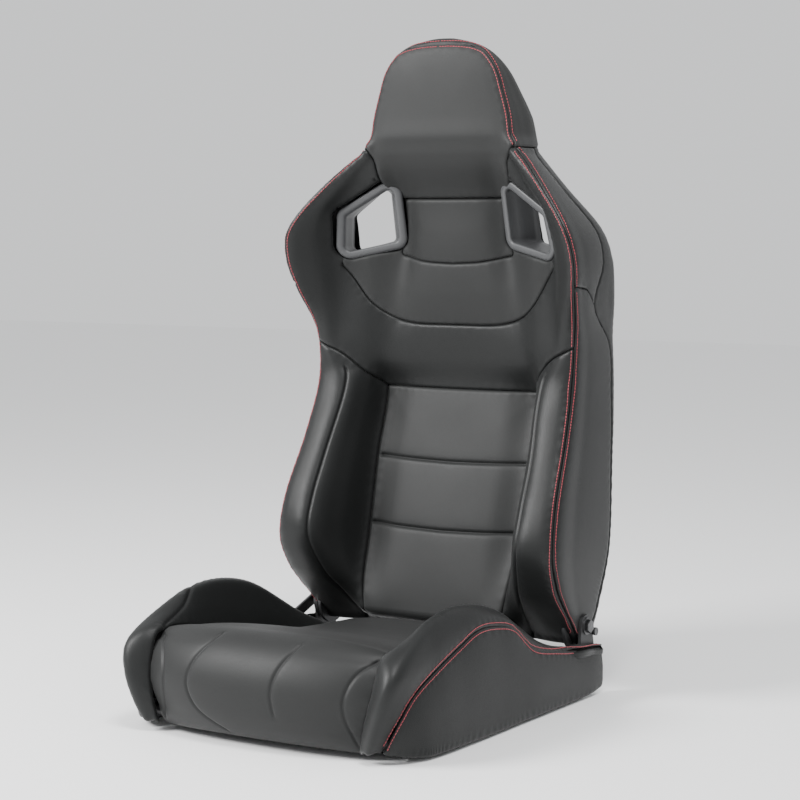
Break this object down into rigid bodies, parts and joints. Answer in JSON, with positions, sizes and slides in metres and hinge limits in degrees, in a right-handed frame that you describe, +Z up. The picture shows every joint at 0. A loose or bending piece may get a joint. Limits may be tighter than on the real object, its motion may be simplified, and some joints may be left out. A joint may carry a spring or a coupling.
{
  "type": "racing seat",
  "caption": "Reclining bucket sport seat with padded shoulder wings, two harness slots, a fixed head pad, deep side bolsters, a steel frame, side hinges and a release lever",
  "frame": {"origin": "middle of the four floor mounting bosses, on their lower faces", "axes": "+X to the occupant's left, -Y the way the seat faces, +Z up along its longest extent"},
  "size_m": [0.5085, 0.6734, 0.98],
  "materials": {
    "leatherette": "satin fine grain",
    "trim_plastic": "satin",
    "black_paint": "satin black",
    "zinc_steel": "zinc plated",
    "bronze": "machined"
  },
  "bodies": {
    "seat_base": {"seat_cushion": "leatherette", "seat_bolster_left": "leatherette", "seat_bolster_right": "leatherette", "base_rail_left": "black_paint", "base_rail_right": "black_paint", "cross_member_front": "black_paint", "cross_member_rear": "black_paint", "nose_tube": "black_paint", "heel_tube": "black_paint", "seat_springs": "zinc_steel", "spring_clips": "zinc_steel", "mounting_bosses": "zinc_steel", "hinge_bracket_left": "black_paint", "hinge_bracket_right": "black_paint", "bracket_screws": "zinc_steel", "bracket_nuts": "zinc_steel", "pivot_bolt": "zinc_steel", "pivot_washer": "zinc_steel", "pivot_nut": "zinc_steel", "stop_pin": "zinc_steel", "recliner_housing": "black_paint"},
    "backrest": {"head_pad": "leatherette", "neck_pad": "leatherette", "yoke_pad": "leatherette", "chest_pad": "leatherette", "back_insert": "leatherette", "back_bolster_left": "leatherette", "back_bolster_right": "leatherette", "back_cover": "leatherette", "slot_bezel_front_left": "trim_plastic", "slot_bezel_front_right": "trim_plastic", "slot_bezel_rear_left": "trim_plastic", "slot_bezel_rear_right": "trim_plastic", "back_hoop": "black_paint", "head_plate": "black_paint", "shoulder_wire_left": "black_paint", "shoulder_wire_right": "black_paint", "back_upper_tube": "black_paint", "back_lower_tube": "black_paint", "lumbar_springs": "zinc_steel", "lumbar_clips": "zinc_steel", "hinge_arm_left": "black_paint", "hinge_arm_right": "black_paint", "pivot_bush": "bronze", "recliner_rotor": "zinc_steel"},
    "lever": {"release_lever": "black_paint", "lever_grip": "trim_plastic", "shaft_clip": "zinc_steel", "lever_spring": "zinc_steel"}
  },
  "joints": [
    {"name": "backrest_recline", "type": "hinge", "parent": "seat_base", "child": "backrest", "pos_m": [0, 0.239, 0.107], "axis": [-1, 0, 0], "range_deg": [0, 45]},
    {"name": "lever_pull", "type": "hinge", "parent": "seat_base", "child": "lever", "pos_m": [0, 0.239, 0.107], "axis": [-1, 0, 0], "range_deg": [0, 20], "stiffness_Nm_per_rad": 2}
  ]
}
